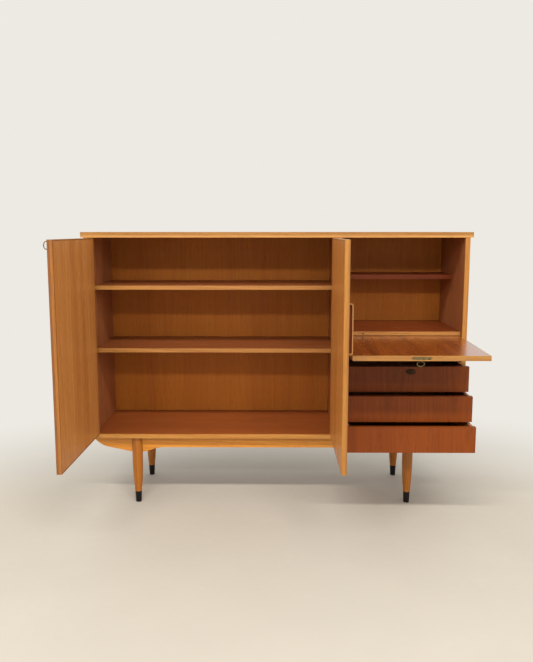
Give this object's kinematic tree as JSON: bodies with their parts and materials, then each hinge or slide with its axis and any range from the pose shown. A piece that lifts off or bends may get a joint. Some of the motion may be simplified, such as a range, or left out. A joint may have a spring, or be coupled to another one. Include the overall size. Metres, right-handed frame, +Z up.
{
  "type": "credenza",
  "caption": "Tall wooden credenza on turned legs, with large doors over shelves, a bar compartment with a drop flap, and drawers below it.",
  "frame": {"origin": "on the floor under the middle of the object's box with its doors, flap and drawers open as at rest", "axes": "+X to the right as seen from the front, +Y to the back, +Z up"},
  "size_m": [1.6, 0.9226, 1.154],
  "materials": {
    "carcass_wood": "satin lacquered veneer, straight grain",
    "back_wood": "satin lacquered veneer",
    "shelf_wood": "satin lacquered veneer with paler front edges",
    "base_wood": "satin lacquered solid wood",
    "foot_black": "black semi-gloss lacquer",
    "hinge_brass": "dull brass",
    "door_wood": "satin lacquered veneer, upright grain",
    "pull_wood": "satin lacquered pale solid wood",
    "lock_metal": "dull, slightly tarnished steel",
    "flap_wood": "glossy lacquered figured veneer",
    "drawer_box_wood": "unfinished pale solid wood",
    "drawer_wood": "satin lacquered reddish veneer, upright grain"
  },
  "bodies": {
    "carcass": {"top_panel": "carcass_wood", "left_side": "carcass_wood", "right_side": "carcass_wood", "divider": "carcass_wood", "bottom_panel": "carcass_wood", "back_panel": "back_wood", "lower_shelf": "shelf_wood", "upper_shelf": "shelf_wood", "small_shelf": "shelf_wood", "compartment_floor": "shelf_wood", "drawer_rail": "carcass_wood", "front_apron": "base_wood", "rear_rail": "base_wood", "front_left_leg": "base_wood", "front_right_leg": "base_wood", "rear_left_leg": "base_wood", "rear_right_leg": "base_wood", "front_left_foot": "foot_black", "front_right_foot": "foot_black", "rear_left_foot": "foot_black", "rear_right_foot": "foot_black", "left_hinge_carcass_leaf": "hinge_brass", "left_hinge_pin": "hinge_brass", "right_hinge_carcass_leaf": "hinge_brass", "right_hinge_pin": "hinge_brass", "flap_pivot_left": "hinge_brass", "flap_pivot_right": "hinge_brass", "left_runner_board": "drawer_box_wood", "right_runner_board": "drawer_box_wood"},
    "left_door_body": {"left_door": "door_wood", "left_hinge_door_leaf": "hinge_brass", "door_lock_case": "lock_metal"},
    "door_bolt_body": {"door_lock_bolt": "lock_metal"},
    "door_key_body": {"door_lock_key": "lock_metal"},
    "right_door_body": {"right_door": "door_wood", "right_hinge_door_leaf": "hinge_brass", "right_pull": "pull_wood", "right_door_catch": "lock_metal"},
    "flap_body": {"flap": "flap_wood", "flap_lock_case": "lock_metal"},
    "flap_bolt_body": {"flap_lock_bolt": "lock_metal"},
    "flap_key_body": {"flap_lock_key": "lock_metal"},
    "top_drawer_body": {"top_drawer_front": "drawer_wood", "top_drawer_left_wall": "drawer_box_wood", "top_drawer_right_wall": "drawer_box_wood", "top_drawer_back": "drawer_box_wood", "top_drawer_bottom": "drawer_box_wood", "drawer_lock_case": "lock_metal"},
    "drawer_bolt_body": {"drawer_lock_bolt": "lock_metal"},
    "middle_drawer_body": {"middle_drawer_front": "drawer_wood", "middle_drawer_left_wall": "drawer_box_wood", "middle_drawer_right_wall": "drawer_box_wood", "middle_drawer_back": "drawer_box_wood", "middle_drawer_bottom": "drawer_box_wood"},
    "bottom_drawer_body": {"bottom_drawer_front": "drawer_wood", "bottom_drawer_left_wall": "drawer_box_wood", "bottom_drawer_right_wall": "drawer_box_wood", "bottom_drawer_back": "drawer_box_wood", "bottom_drawer_bottom": "drawer_box_wood"}
  },
  "joints": [
    {"name": "left_door_hinge", "type": "hinge", "parent": "carcass", "child": "left_door_body", "pos_m": [-0.7648, 0.04384, 0.72], "axis": [0, 0, -1], "range_deg": [-91.4, 83.6]},
    {"name": "right_door_hinge", "type": "hinge", "parent": "carcass", "child": "right_door_body", "pos_m": [0.2468, 0.04384, 0.72], "axis": [0, 0, 1], "range_deg": [-90, 3.4]},
    {"name": "flap_pivot", "type": "hinge", "parent": "carcass", "child": "flap_body", "pos_m": [0.517, 0.05584, 0.716], "axis": [1, 0, 0], "range_deg": [-91.04, 0]},
    {"name": "top_drawer_slide", "type": "slide", "parent": "carcass", "child": "top_drawer_body", "axis": [0, -1, 0], "range_m": [-0.13, 0.175]},
    {"name": "middle_drawer_slide", "type": "slide", "parent": "carcass", "child": "middle_drawer_body", "axis": [0, -1, 0], "range_m": [-0.194, 0.111]},
    {"name": "bottom_drawer_slide", "type": "slide", "parent": "carcass", "child": "bottom_drawer_body", "axis": [0, -1, 0], "range_m": [-0.254, 0.051]},
    {"name": "door_key_turn", "type": "hinge", "parent": "left_door_body", "child": "door_key_body", "pos_m": [-0.77371, -0.42288, 1.11], "axis": [0.9997, -0.0244, 0], "range_deg": [0, 360]},
    {"name": "door_bolt_slide", "type": "slide", "parent": "left_door_body", "child": "door_bolt_body", "axis": [0, 0, 1], "range_m": [0, 0.006]},
    {"name": "flap_key_turn", "type": "hinge", "parent": "flap_body", "child": "flap_key_body", "pos_m": [0.517, -0.33792, 0.69933], "axis": [0, -0.0182, 0.9998], "range_deg": [-90, 270]},
    {"name": "flap_bolt_slide", "type": "slide", "parent": "flap_body", "child": "flap_bolt_body", "axis": [0, -0.9998, -0.0182], "range_m": [-0.0015, 0.0045]},
    {"name": "drawer_bolt_slide", "type": "slide", "parent": "top_drawer_body", "child": "drawer_bolt_body", "axis": [0, 0, 1], "range_m": [0, 0.006]}
  ],
  "couplings": [
    {"joint": "door_bolt_slide", "follows": "door_key_turn", "m_per_rad": 0.00095493},
    {"joint": "flap_bolt_slide", "follows": "flap_key_turn", "m_per_rad": 0.00095493}
  ]
}
